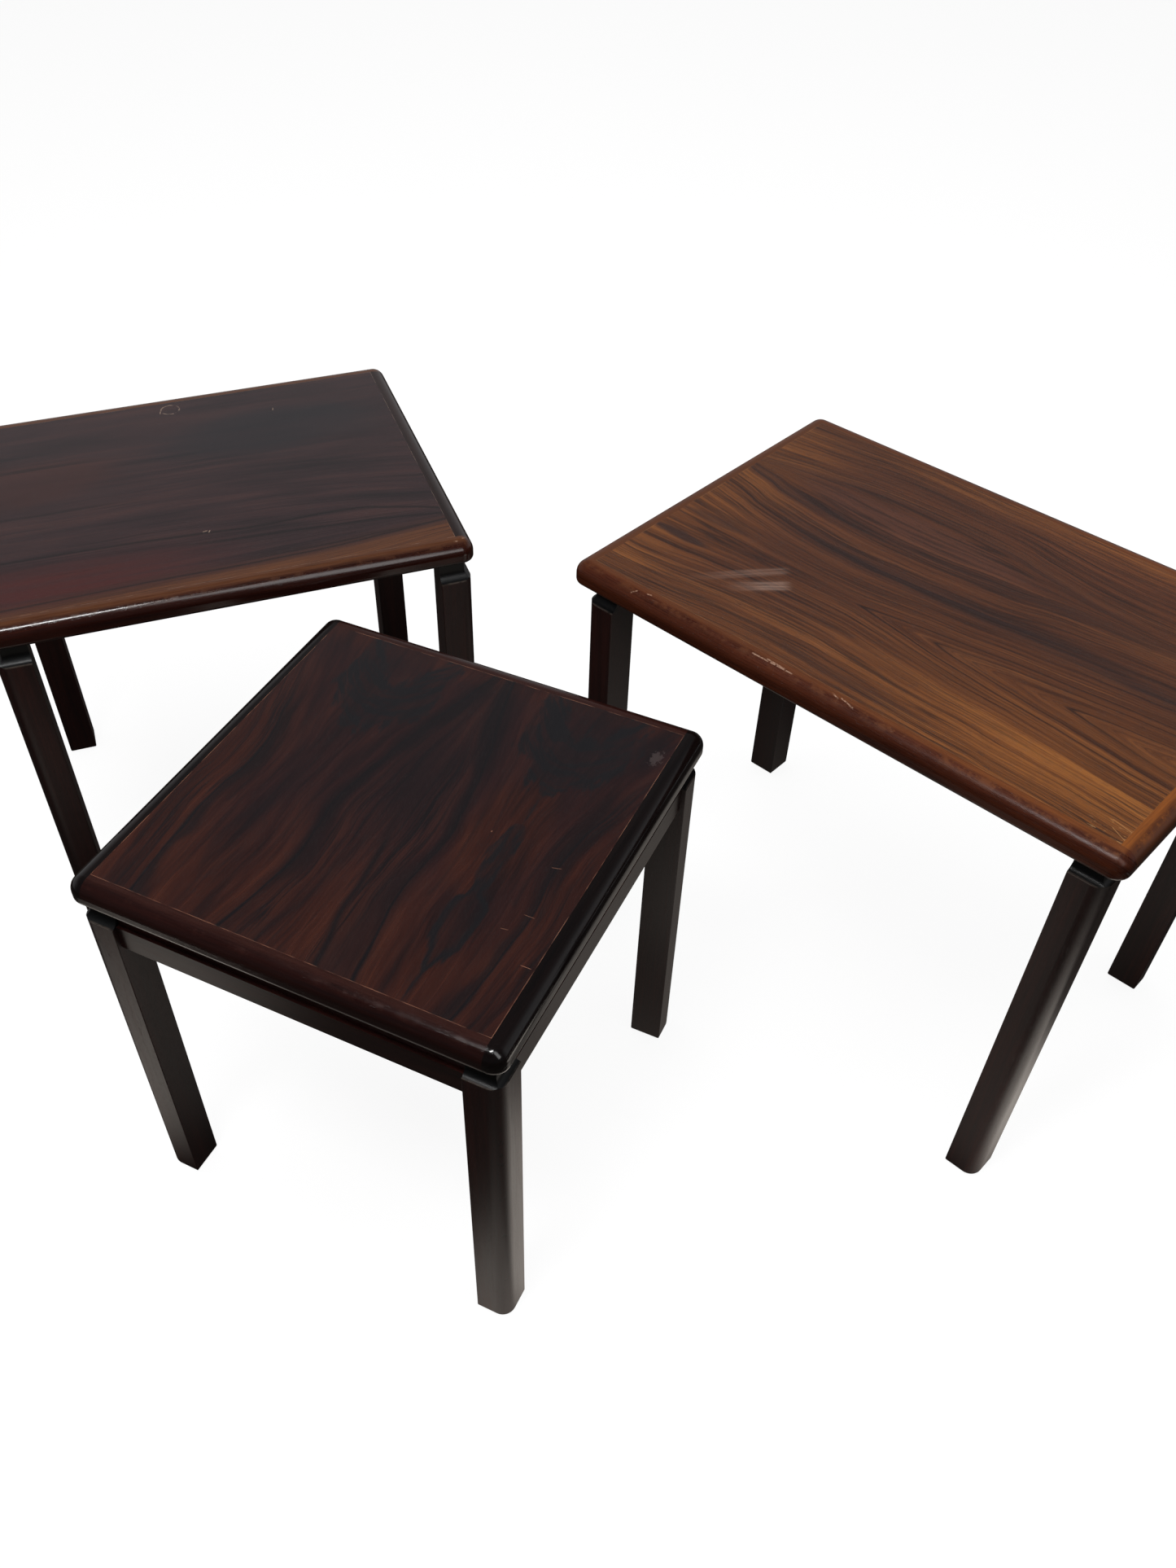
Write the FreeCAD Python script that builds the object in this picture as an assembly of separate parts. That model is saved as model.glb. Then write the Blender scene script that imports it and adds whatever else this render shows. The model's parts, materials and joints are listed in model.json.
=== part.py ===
import FreeCAD, Part
import math
import os

# A nest of three rosewood side tables, drawn apart and set at angles to one another.
# Millimetres, +Z up. The large table is square to the frame with its open side towards -Y.
# Every table is built about its own centre on the floor, width along X, open side towards -Y,
# then turned and moved to its place.

Vector = FreeCAD.Vector
os.makedirs("parts", exist_ok=True)

# ---- driving dimensions -------------------------------------------------------------------
# The three tables share one design. "overhang" is how far the top stands out past the legs;
# the large top stands out further, so that the middle top still passes between its legs.
TABLES = {
    "large": dict(width=618.0, depth=426.0, height=517.0, overhang=12.0,
                  rails=("left", "right", "back")),
    "middle": dict(width=516.0, depth=430.0, height=489.0, overhang=3.5,
                   rails=("left", "right", "back")),
    "small": dict(width=432.0, depth=427.0, height=456.0, overhang=3.5,
                  rails=("left", "right", "back", "front")),
}

# Where each table stands, from the large table's centre: x, y, turn about +Z in degrees.
PLACES = {
    "large": (0.0, 0.0, 0.0),
    "middle": (-743.0, -359.0, 62.6),
    "small": (-218.0, -531.0, 107.9),
}

# Top: veneered board, edged all round with solid wood lippings.
TOP_THICKNESS = 25.0
VENEER = 0.7
LIPPING = 18.0
CORNER_RADIUS = 14.5        # rounding of the top's four corners, seen from above
ROLL_RADIUS = 14.0          # big roll on the upper edge; with the corners it makes a ball
LOWER_ROUND = 5.0           # smaller rounding on the lower edge

# Legs: square, rounded on the outer corner, with a notch under the top on both outer faces.
LEG = 36.0
LEG_ROUND = 14.0
ARRIS = 0.8
NOTCH_DEPTH = 8.0
NOTCH_HEIGHT = 24.0
COVE_HEIGHT = 10.5          # hollow at the foot of the notch
FOOT_ROUND = 4.5            # softened edges of the foot

# Rails: rebated along the upper half so that the notch's shadow line runs on between the legs.
RAIL_HEIGHT = 52.0
RAIL_THICKNESS = 20.0
RAIL_INSET = 5.0            # from the legs' outer faces to the rail's outer face
REBATE_HEIGHT = 24.0
REBATE_DEPTH = 4.0
RAIL_ARRIS = 1.0

# Dowels join rails to legs and legs to the top. Heights are measured down from the underside
# of the top, and differ on long and end rails so that the dowels miss each other in the leg.
DOWEL_RADIUS = 4.0
DOWEL_HALF = 18.0
LONG_RAIL_DOWELS = (14.0, 36.0)
END_RAIL_DOWELS = (25.0, 46.0)
RAIL_DOWEL_DEPTH = 12.0     # from the rail's outer face to the dowel's axis
LEG_DOWEL_INSET = 26.0      # from both outer faces of the leg
LEG_DOWEL_DOWN = 15.0
LEG_DOWEL_UP = 14.0

# Countersunk screws come up through counterbored holes in the rails and hold the top.
SCREW_RADIUS = 2.1
SCREW_HEAD_RADIUS = 4.0
SCREW_HEAD_HEIGHT = 2.4
SCREW_HEAD_DOWN = 28.0      # from the underside of the top to the head's flat face
SCREW_UP = 12.0
COUNTERBORE_RADIUS = 4.5
SCREW_DEPTH = 13.0          # from the rail's outer face to the screw's axis

Z_AXIS = Vector(0, 0, 1)


def upright_edges(shape, x=None, y=None):
    """Vertical edges of a shape, at a given x or y when one is stated."""
    found = []
    for edge in shape.Edges:
        box = edge.BoundBox
        if box.ZLength < 1.0 or box.XLength > 0.01 or box.YLength > 0.01:
            continue
        if x is not None and abs(box.XMin - x) > 0.01:
            continue
        if y is not None and abs(box.YMin - y) > 0.01:
            continue
        found.append(edge)
    return found


def level_edges(shape, z):
    """Edges lying flat at height z."""
    return [e for e in shape.Edges if abs(e.BoundBox.ZMin - z) < 0.01 and abs(e.BoundBox.ZMax - z) < 0.01]


def box_between(low, high):
    """Box from its lowest corner to its highest corner."""
    return Part.makeBox(high[0] - low[0], high[1] - low[1], high[2] - low[2], Vector(*low))


# ---- top ----------------------------------------------------------------------------------
def make_top(table):
    """Board, veneers and four lippings. The long lippings run through to the corners."""
    width, depth, height = table["width"], table["depth"], table["height"]
    under = height - TOP_THICKNESS
    slab = box_between((-width / 2, -depth / 2, under), (width / 2, depth / 2, height))
    slab = slab.makeFillet(CORNER_RADIUS, upright_edges(slab))
    slab = slab.makeFillet(ROLL_RADIUS, level_edges(slab, height))
    slab = slab.makeFillet(LOWER_ROUND, level_edges(slab, under))

    inner_x = width / 2 - LIPPING
    inner_y = depth / 2 - LIPPING

    def slice_of(x_low, x_high, y_low, y_high, z_low=under, z_high=height):
        return slab.common(box_between((x_low, y_low, z_low), (x_high, y_high, z_high)))

    return {
        "lipping_front": slice_of(-width / 2, width / 2, -depth / 2, -inner_y),
        "lipping_back": slice_of(-width / 2, width / 2, inner_y, depth / 2),
        "lipping_left": slice_of(-width / 2, -inner_x, -inner_y, inner_y),
        "lipping_right": slice_of(inner_x, width / 2, -inner_y, inner_y),
        "top_veneer": slice_of(-inner_x, inner_x, -inner_y, inner_y, height - VENEER, height),
        "top_core": slice_of(-inner_x, inner_x, -inner_y, inner_y, under + VENEER, height - VENEER),
        "underside_veneer": slice_of(-inner_x, inner_x, -inner_y, inner_y, under, under + VENEER),
    }


# ---- legs ---------------------------------------------------------------------------------
def notch_cutter(leg_top):
    """Removes the notch from the leg's outer face at y = 0, along the whole face."""
    shoulder = leg_top - NOTCH_HEIGHT
    clear = 1.0
    centre = Vector(0, 0, shoulder + COVE_HEIGHT)
    start = Vector(0, 0, shoulder)
    end = Vector(0, NOTCH_DEPTH, shoulder + COVE_HEIGHT)
    cove = Part.ArcOfEllipse(Part.Ellipse(start, end, centre), 0, math.pi / 2)
    outer_low = Vector(0, -clear, shoulder)
    outer_high = Vector(0, -clear, leg_top + clear)
    inner_high = Vector(0, NOTCH_DEPTH, leg_top + clear)
    edges = [
        Part.makeLine(outer_low, start),
        cove.toShape(),
        Part.makeLine(end, inner_high),
        Part.makeLine(inner_high, outer_high),
        Part.makeLine(outer_high, outer_low),
    ]
    section = Part.Face(Part.Wire(edges))
    section.translate(Vector(-clear, 0, 0))
    return section.extrude(Vector(LEG + 2 * clear, 0, 0))


def make_leg(leg_top):
    """Leg with its outer corner at the origin, standing in +X and +Y."""
    leg = Part.makeBox(LEG, LEG, leg_top)
    leg = leg.makeFillet(LEG_ROUND, upright_edges(leg, x=0.0, y=0.0))
    leg = leg.makeFillet(FOOT_ROUND, level_edges(leg, 0.0))
    others = [e for e in upright_edges(leg) if e.BoundBox.XMin > LEG - 1.0 or e.BoundBox.YMin > LEG - 1.0]
    leg = leg.makeFillet(ARRIS, others)
    cutter = notch_cutter(leg_top)
    across = cutter.mirror(Vector(0, 0, 0), Vector(1, -1, 0))
    return leg.cut(cutter).cut(across)


def at_corner(shape, table, side, end):
    """Moves a shape built at the front left leg to the corner given by side and end."""
    placed = shape.copy()
    half_x = table["width"] / 2 - table["overhang"]
    half_y = table["depth"] / 2 - table["overhang"]
    placed.translate(Vector(-half_x, -half_y, 0))
    if side == "right":
        placed = placed.mirror(Vector(0, 0, 0), Vector(1, 0, 0))
    if end == "back":
        placed = placed.mirror(Vector(0, 0, 0), Vector(0, 1, 0))
    return placed


# ---- rails --------------------------------------------------------------------------------
def rail_span(table, side):
    """Length between the legs and turn about +Z for the rail on the given side."""
    long_span = table["width"] - 2 * (table["overhang"] + LEG)
    end_span = table["depth"] - 2 * (table["overhang"] + LEG)
    spans = {
        "front": (long_span, 0.0, table["depth"]),
        "right": (end_span, 90.0, table["width"]),
        "back": (long_span, 180.0, table["depth"]),
        "left": (end_span, 270.0, table["width"]),
    }
    return spans[side]


def on_side(shape, table, side):
    """Moves a shape built on the front rail's line, outer face at y = 0, to the given side."""
    span, turn, across = rail_span(table, side)
    placed = shape.copy()
    outer_face = across / 2 - table["overhang"] - RAIL_INSET
    placed.translate(Vector(0, -outer_face, 0))
    placed.rotate(Vector(0, 0, 0), Z_AXIS, turn)
    return placed


def make_rail(table, side):
    """Rail with its outer face at y = 0, centred on x = 0, under the top."""
    span = rail_span(table, side)[0]
    under = table["height"] - TOP_THICKNESS
    rail = box_between((-span / 2, 0, under - RAIL_HEIGHT), (span / 2, RAIL_THICKNESS, under))
    lower = [e for e in level_edges(rail, under - RAIL_HEIGHT) if e.BoundBox.XLength > RAIL_THICKNESS]
    rail = rail.makeFillet(RAIL_ARRIS, lower)
    rebate = box_between((-span, -1.0, under - REBATE_HEIGHT), (span, REBATE_DEPTH, under + 1.0))
    return rail.cut(rebate)


def make_rail_dowels(table, side):
    """Two dowels at each end of a rail."""
    span = rail_span(table, side)[0]
    under = table["height"] - TOP_THICKNESS
    drops = LONG_RAIL_DOWELS if side in ("front", "back") else END_RAIL_DOWELS
    dowels = []
    for joint_x in (-span / 2, span / 2):
        for drop in drops:
            start = Vector(joint_x - DOWEL_HALF, RAIL_DOWEL_DEPTH, under - drop)
            dowels.append(Part.makeCylinder(DOWEL_RADIUS, 2 * DOWEL_HALF, start, Vector(1, 0, 0)))
    return dowels


def screw_places(table, side):
    """Screw axes on a rail, as x positions along it."""
    span = rail_span(table, side)[0]
    return (-span / 4, span / 4)


def make_screws(table, side):
    """Countersunk screws standing in a rail, heads down."""
    under = table["height"] - TOP_THICKNESS
    head_z = under - SCREW_HEAD_DOWN
    screws = []
    for x in screw_places(table, side):
        foot = Vector(x, SCREW_DEPTH, head_z)
        head = Part.makeCone(SCREW_HEAD_RADIUS, SCREW_RADIUS, SCREW_HEAD_HEIGHT, foot)
        shank = Part.makeCylinder(SCREW_RADIUS, SCREW_HEAD_DOWN + SCREW_UP, foot)
        screws.append(head.fuse(shank).removeSplitter())
    return screws


def make_counterbores(table, side):
    """Holes below the screw heads, open at the rail's lower edge."""
    under = table["height"] - TOP_THICKNESS
    depth = RAIL_HEIGHT - SCREW_HEAD_DOWN
    holes = []
    for x in screw_places(table, side):
        mouth = Vector(x, SCREW_DEPTH, under - RAIL_HEIGHT)
        holes.append(Part.makeCylinder(COUNTERBORE_RADIUS, depth, mouth))
    return holes


# ---- one table ----------------------------------------------------------------------------
def make_table(table):
    """Every piece of one table, by name, about the table's own centre on the floor."""
    under = table["height"] - TOP_THICKNESS
    pieces = make_top(table)
    leg = make_leg(under)
    leg_dowel = Part.makeCylinder(
        DOWEL_RADIUS, LEG_DOWEL_DOWN + LEG_DOWEL_UP,
        Vector(LEG_DOWEL_INSET, LEG_DOWEL_INSET, under - LEG_DOWEL_DOWN))

    legs = {}
    leg_dowels = []
    for end in ("front", "back"):
        for side in ("left", "right"):
            legs["leg_%s_%s" % (end, side)] = at_corner(leg, table, side, end)
            leg_dowels.append(at_corner(leg_dowel, table, side, end))

    rails = {}
    rail_dowels = []
    screws = []
    for side in table["rails"]:
        rail = on_side(make_rail(table, side), table, side)
        dowels = [on_side(d, table, side) for d in make_rail_dowels(table, side)]
        own_screws = [on_side(s, table, side) for s in make_screws(table, side)]
        bores = [on_side(b, table, side) for b in make_counterbores(table, side)]
        rails["rail_" + side] = rail.cut(Part.makeCompound(dowels + own_screws + bores))
        rail_dowels += dowels
        screws += own_screws

    # Holes for the dowels and screws in the pieces that hold them.
    in_legs = Part.makeCompound(rail_dowels + leg_dowels)
    for name, shape in legs.items():
        pieces[name] = shape.cut(in_legs)
    in_top = Part.makeCompound(leg_dowels + screws)
    for name in ("top_core", "underside_veneer"):
        pieces[name] = pieces[name].cut(in_top)

    pieces.update(rails)
    pieces["rail_dowels"] = Part.makeCompound(rail_dowels)
    pieces["leg_dowels"] = Part.makeCompound(leg_dowels)
    pieces["top_screws"] = Part.makeCompound(screws)
    return pieces


# ---- the set ------------------------------------------------------------------------------
nodes = {}
for table_name, table in TABLES.items():
    place_x, place_y, turn = PLACES[table_name]
    for piece_name, shape in make_table(table).items():
        shape.rotate(Vector(0, 0, 0), Z_AXIS, turn)
        shape.translate(Vector(place_x, place_y, 0))
        nodes[table_name + "_" + piece_name] = shape

# The origin is on the floor at the centre of the whole set's footprint.
lippings = Part.makeCompound([s for n, s in nodes.items() if "lipping" in n])
footprint = lippings.optimalBoundingBox(False, False)
to_origin = Vector(-footprint.Center.x, -footprint.Center.y, 0)

for name, shape in nodes.items():
    shape.translate(to_origin)
    shape.exportStep("parts/%s.step" % name)
    print(name, len(shape.Solids), "solid(s)", round(shape.Volume / 1000, 1), "cm3")
print("from the large table's centre to the origin:", to_origin.x, to_origin.y)
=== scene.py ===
import json
import math

import bmesh
import bpy
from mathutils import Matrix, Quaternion, Vector


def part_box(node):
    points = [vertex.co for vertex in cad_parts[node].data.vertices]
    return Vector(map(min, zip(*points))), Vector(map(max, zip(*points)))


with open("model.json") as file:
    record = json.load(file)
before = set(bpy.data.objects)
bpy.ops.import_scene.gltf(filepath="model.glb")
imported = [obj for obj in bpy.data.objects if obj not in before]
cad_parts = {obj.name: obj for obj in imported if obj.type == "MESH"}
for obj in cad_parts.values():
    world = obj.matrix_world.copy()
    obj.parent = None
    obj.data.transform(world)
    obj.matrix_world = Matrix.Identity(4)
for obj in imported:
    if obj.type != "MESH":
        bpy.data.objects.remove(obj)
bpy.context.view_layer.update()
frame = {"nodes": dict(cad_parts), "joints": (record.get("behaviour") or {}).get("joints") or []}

# ---- the three tables, as the frame gives them --------------------------------------------
# Each table is described about its own centre: x along its long side, y across, open side at -y.
# The two smaller tables slide along their own y axis, so their joints say how they are turned. The
# sign is 1 where the joint's axis runs along the table's +y, and -1 where it runs along -y.
SLIDES = {"middle": ("middle_table_slide", 1.0), "small": ("small_table_slide", -1.0)}


def table_turn(name):
    """Turn of a table about +Z, in radians, from the way its joint slides."""
    if name not in SLIDES:
        return 0.0
    joint_name, sign = SLIDES[name]
    axis = next(j["axis"] for j in frame["joints"] if j["name"] == joint_name)
    return math.atan2(-sign * axis[0], sign * axis[1])


def table_facts(name):
    """A table's centre and turn, and the sizes and heights that the materials need."""
    low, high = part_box(name + "_top_core")
    centre = (low + high) / 2
    turn = table_turn(name)
    cos, sin = math.cos(turn), math.sin(turn)

    def farthest(node):
        """How far a node reaches from the centre, along x and along y."""
        points = [v.co - centre for v in frame["nodes"][name + node].data.vertices]
        return (max(abs(cos * p.x + sin * p.y) for p in points),
                max(abs(cos * p.y - sin * p.x) for p in points))

    return {
        "centre": centre, "turn": turn,
        "top": farthest("_lipping_front"), "board": farthest("_top_veneer"),
        "leg": farthest("_leg_front_left"), "leg_top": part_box(name + "_leg_front_left")[1].z,
        "lower_edge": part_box(name + "_lipping_front")[0].z,
    }


TABLES = {name: table_facts(name) for name in ("large", "middle", "small")}

# The notch in the legs' outer faces and the rebate of the rails, both under the top.
NOTCH_DEPTH = 0.008
NOTCH_HEIGHT = 0.024
REBATE_HEIGHT = 0.024


# ---- building materials -------------------------------------------------------------------
class Graph:
    """A material and short names for the nodes that it is built from."""

    def __init__(self, name):
        self.material = bpy.data.materials.new(name)
        self.material.use_nodes = True
        self.nodes = self.material.node_tree.nodes
        self.links = self.material.node_tree.links
        self.shader = self.nodes["Principled BSDF"]

    def feed(self, socket, value):
        """Links a socket, or sets it when the value is a number, colour or vector."""
        if isinstance(value, bpy.types.NodeSocket):
            self.links.new(value, socket)
        elif isinstance(value, (tuple, list)) and len(value) == 3 and socket.type == "RGBA":
            socket.default_value = (*value, 1.0)
        else:
            socket.default_value = value

    def math(self, operation, a, b=0.0, c=0.0):
        node = self.nodes.new("ShaderNodeMath")
        node.operation = operation
        for socket, value in zip(node.inputs, (a, b, c)):
            self.feed(socket, value)
        return node.outputs[0]

    def add(self, a, b):
        return self.math("ADD", a, b)

    def sub(self, a, b):
        return self.math("SUBTRACT", a, b)

    def mul(self, a, b):
        return self.math("MULTIPLY", a, b)

    def size(self, a, b):
        """Length of the vector (a, b)."""
        return self.math("SQRT", self.add(self.mul(a, a), self.mul(b, b)))

    def join(self, x, y=0.0, z=0.0):
        node = self.nodes.new("ShaderNodeCombineXYZ")
        for socket, value in zip(node.inputs, (x, y, z)):
            self.feed(socket, value)
        return node.outputs[0]

    def noise(self, *places, detail=3.0, roughness=0.55):
        """Noise from 0 to 1 at up to three places, each a value or a pair (value, scale)."""
        scaled = [self.mul(*place) if isinstance(place, tuple) else place for place in places]
        node = self.nodes.new("ShaderNodeTexNoise")
        self.feed(node.inputs["Vector"], self.join(*scaled))
        node.inputs["Scale"].default_value = 1.0
        node.inputs["Detail"].default_value = detail
        node.inputs["Roughness"].default_value = roughness
        return node.outputs["Fac"]

    def drift(self, *places, **settings):
        """Noise from -0.5 to 0.5."""
        return self.sub(self.noise(*places, **settings), 0.5)

    def fade(self, value, start, end):
        """0 at start and 1 at end, with a smooth step between them. Start may be above end."""
        node = self.nodes.new("ShaderNodeMapRange")
        node.interpolation_type = "SMOOTHSTEP"
        self.feed(node.inputs["Value"], value)
        node.inputs["From Min"].default_value = min(start, end)
        node.inputs["From Max"].default_value = max(start, end)
        node.inputs["To Min"].default_value = 0.0 if start < end else 1.0
        node.inputs["To Max"].default_value = 1.0 if start < end else 0.0
        return node.outputs["Result"]

    def clamp(self, value):
        """The value, kept within 0..1."""
        return self.math("MINIMUM", self.math("MAXIMUM", value, 0.0), 1.0)

    def spread(self, value, low, high):
        """Maps 0..1 to low..high."""
        return self.math("MULTIPLY_ADD", value, high - low, low)

    def ramp(self, value, *stops):
        node = self.nodes.new("ShaderNodeValToRGB")
        self.feed(node.inputs["Fac"], value)
        elements = node.color_ramp.elements
        while len(elements) < len(stops):
            elements.new(0.5)
        for element, (position, colour) in zip(elements, stops):
            element.position = position
            element.color = (*colour, 1.0)
        return node.outputs["Color"]

    def mix(self, share, a, b, blend="MIX"):
        node = self.nodes.new("ShaderNodeMix")
        node.data_type = "RGBA"
        node.blend_type = blend
        node.clamp_factor = True
        self.feed(node.inputs["Factor"], share)
        self.feed(node.inputs["A"], a)
        self.feed(node.inputs["B"], b)
        return node.outputs["Result"]

    def local(self, name):
        """x, y and z about a table's own centre, from the floor up, in metres."""
        table = TABLES[name]
        where = self.nodes.new("ShaderNodeTexCoord").outputs["Object"]
        mapping = self.nodes.new("ShaderNodeMapping")
        mapping.vector_type = "TEXTURE"
        mapping.inputs["Location"].default_value = (table["centre"].x, table["centre"].y, 0.0)
        mapping.inputs["Rotation"].default_value = (0.0, 0.0, table["turn"])
        self.links.new(where, mapping.inputs["Vector"])
        split = self.nodes.new("ShaderNodeSeparateXYZ")
        self.links.new(mapping.outputs["Vector"], split.inputs["Vector"])
        return split.outputs[0], split.outputs[1], split.outputs[2]

    def spot(self, x, y, centre, half, ragged=0.0, grain=(40.0, 40.0), edge=(1.15, 0.55)):
        """1 inside an ellipse and 0 outside, with an edge that noise may tear."""
        dx = self.mul(self.sub(x, centre[0]), 1.0 / half[0])
        dy = self.mul(self.sub(y, centre[1]), 1.0 / half[1])
        distance = self.size(dx, dy)
        if ragged:
            tear = self.drift((x, grain[0]), (y, grain[1]), detail=4.0)
            distance = self.add(distance, self.mul(tear, ragged))
        return self.fade(distance, *edge)

    def bell(self, value, width):
        """1 where value is 0, falling off smoothly on both sides."""
        scaled = self.mul(value, 1.0 / width)
        return self.math("EXPONENT", self.mul(self.mul(scaled, scaled), -1.0))

    def path(self, x, *points):
        """y of a smooth curve through points (x, y) that run from left to right, in metres."""
        start, end = points[0][0], points[-1][0]
        low, high = min(y for _, y in points), max(y for _, y in points)
        node = self.nodes.new("ShaderNodeFloatCurve")
        node.mapping.extend = "HORIZONTAL"
        curve = node.mapping.curves[0]
        for place, y in points[1:-1]:
            curve.points.new((place - start) / (end - start), (y - low) / (high - low))
        curve.points[0].location = (0.0, (points[0][1] - low) / (high - low))
        curve.points[len(points) - 1].location = (1.0, (points[-1][1] - low) / (high - low))
        node.mapping.update()
        self.feed(node.inputs["Value"], self.math("MULTIPLY_ADD", x, 1.0 / (end - start),
                                                  -start / (end - start)))
        return self.spread(node.outputs["Value"], low, high)

    def vein(self, field, centre, half):
        """A soft line where the field passes the centre value."""
        return self.bell(self.sub(field, centre), half)

    def finish(self, colour, roughness, height=None, relief=0.0001, specular=0.5):
        """Links the finished channels to the shader. Height 1 stands relief metres proud."""
        self.feed(self.shader.inputs["Base Color"], colour)
        self.feed(self.shader.inputs["Roughness"], roughness)
        self.shader.inputs["Specular IOR Level"].default_value = specular
        if height is not None:
            bump = self.nodes.new("ShaderNodeBump")
            bump.inputs["Strength"].default_value = 1.0
            bump.inputs["Distance"].default_value = relief
            self.links.new(height, bump.inputs["Height"])
            self.links.new(bump.outputs["Normal"], self.shader.inputs["Normal"])
        return self.material


def pores(g, along, across, length=0.012, width=0.0004, amount=0.5):
    """Open pores: short dark dashes that run with the grain. 1 in a pore."""
    dash = g.noise((along, 1.0 / length), (across, 1.0 / width), detail=1.0, roughness=0.4)
    return g.fade(dash, 0.66 - 0.08 * amount, 0.74 - 0.08 * amount)


def glue_line(g, x, y, board, seed):
    """The thin pale joint round the veneer, broken here and there."""
    edge = g.math("MINIMUM",
                  g.sub(board[0], g.math("ABSOLUTE", x)),
                  g.sub(board[1], g.math("ABSOLUTE", y)))
    broken = g.fade(g.noise((x, 30.0), (y, 30.0), seed), 0.40, 0.60)
    return g.mul(g.fade(edge, 0.0009, 0.0003), broken)


def about_line(g, x, y, start, end):
    """How far a place lies along the line between two points and off it, and the line's length."""
    start, end = Vector(start), Vector(end)
    line = (end - start).normalized()
    dx, dy = g.sub(x, start.x), g.sub(y, start.y)
    along = g.add(g.mul(dx, line.x), g.mul(dy, line.y))
    off = g.sub(g.mul(dy, line.x), g.mul(dx, line.y))
    return along, off, (end - start).length


def scratch(g, x, y, start, end, width=0.0005):
    """A straight scratch between two points, 1 on its line."""
    along, off, length = about_line(g, x, y, start, end)
    on_length = g.mul(g.fade(along, -0.001, 0.001), g.fade(along, length + 0.001, length - 0.001))
    return g.mul(g.fade(g.math("ABSOLUTE", off), width, width * 0.3), on_length)


def stroke(g, x, y, start, end, width):
    """A wiped smear between two points, streaked along its own line."""
    along, off, length = about_line(g, x, y, start, end)
    streaks = g.noise((along, 18.0), (off, 420.0), 6.0)
    body = g.mul(g.fade(along, -0.004, length * 0.6),
                 g.fade(along, length + 0.004, length - 0.010))
    edge = g.fade(g.math("ABSOLUTE", off), width, width * 0.35)
    return g.mul(g.mul(body, edge), g.spread(g.fade(streaks, 0.38, 0.62), 0.35, 1.0))


def any_of(g, masks):
    """The largest of several masks."""
    result = masks[0]
    for mask in masks[1:]:
        result = g.math("MAXIMUM", result, mask)
    return result


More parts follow.
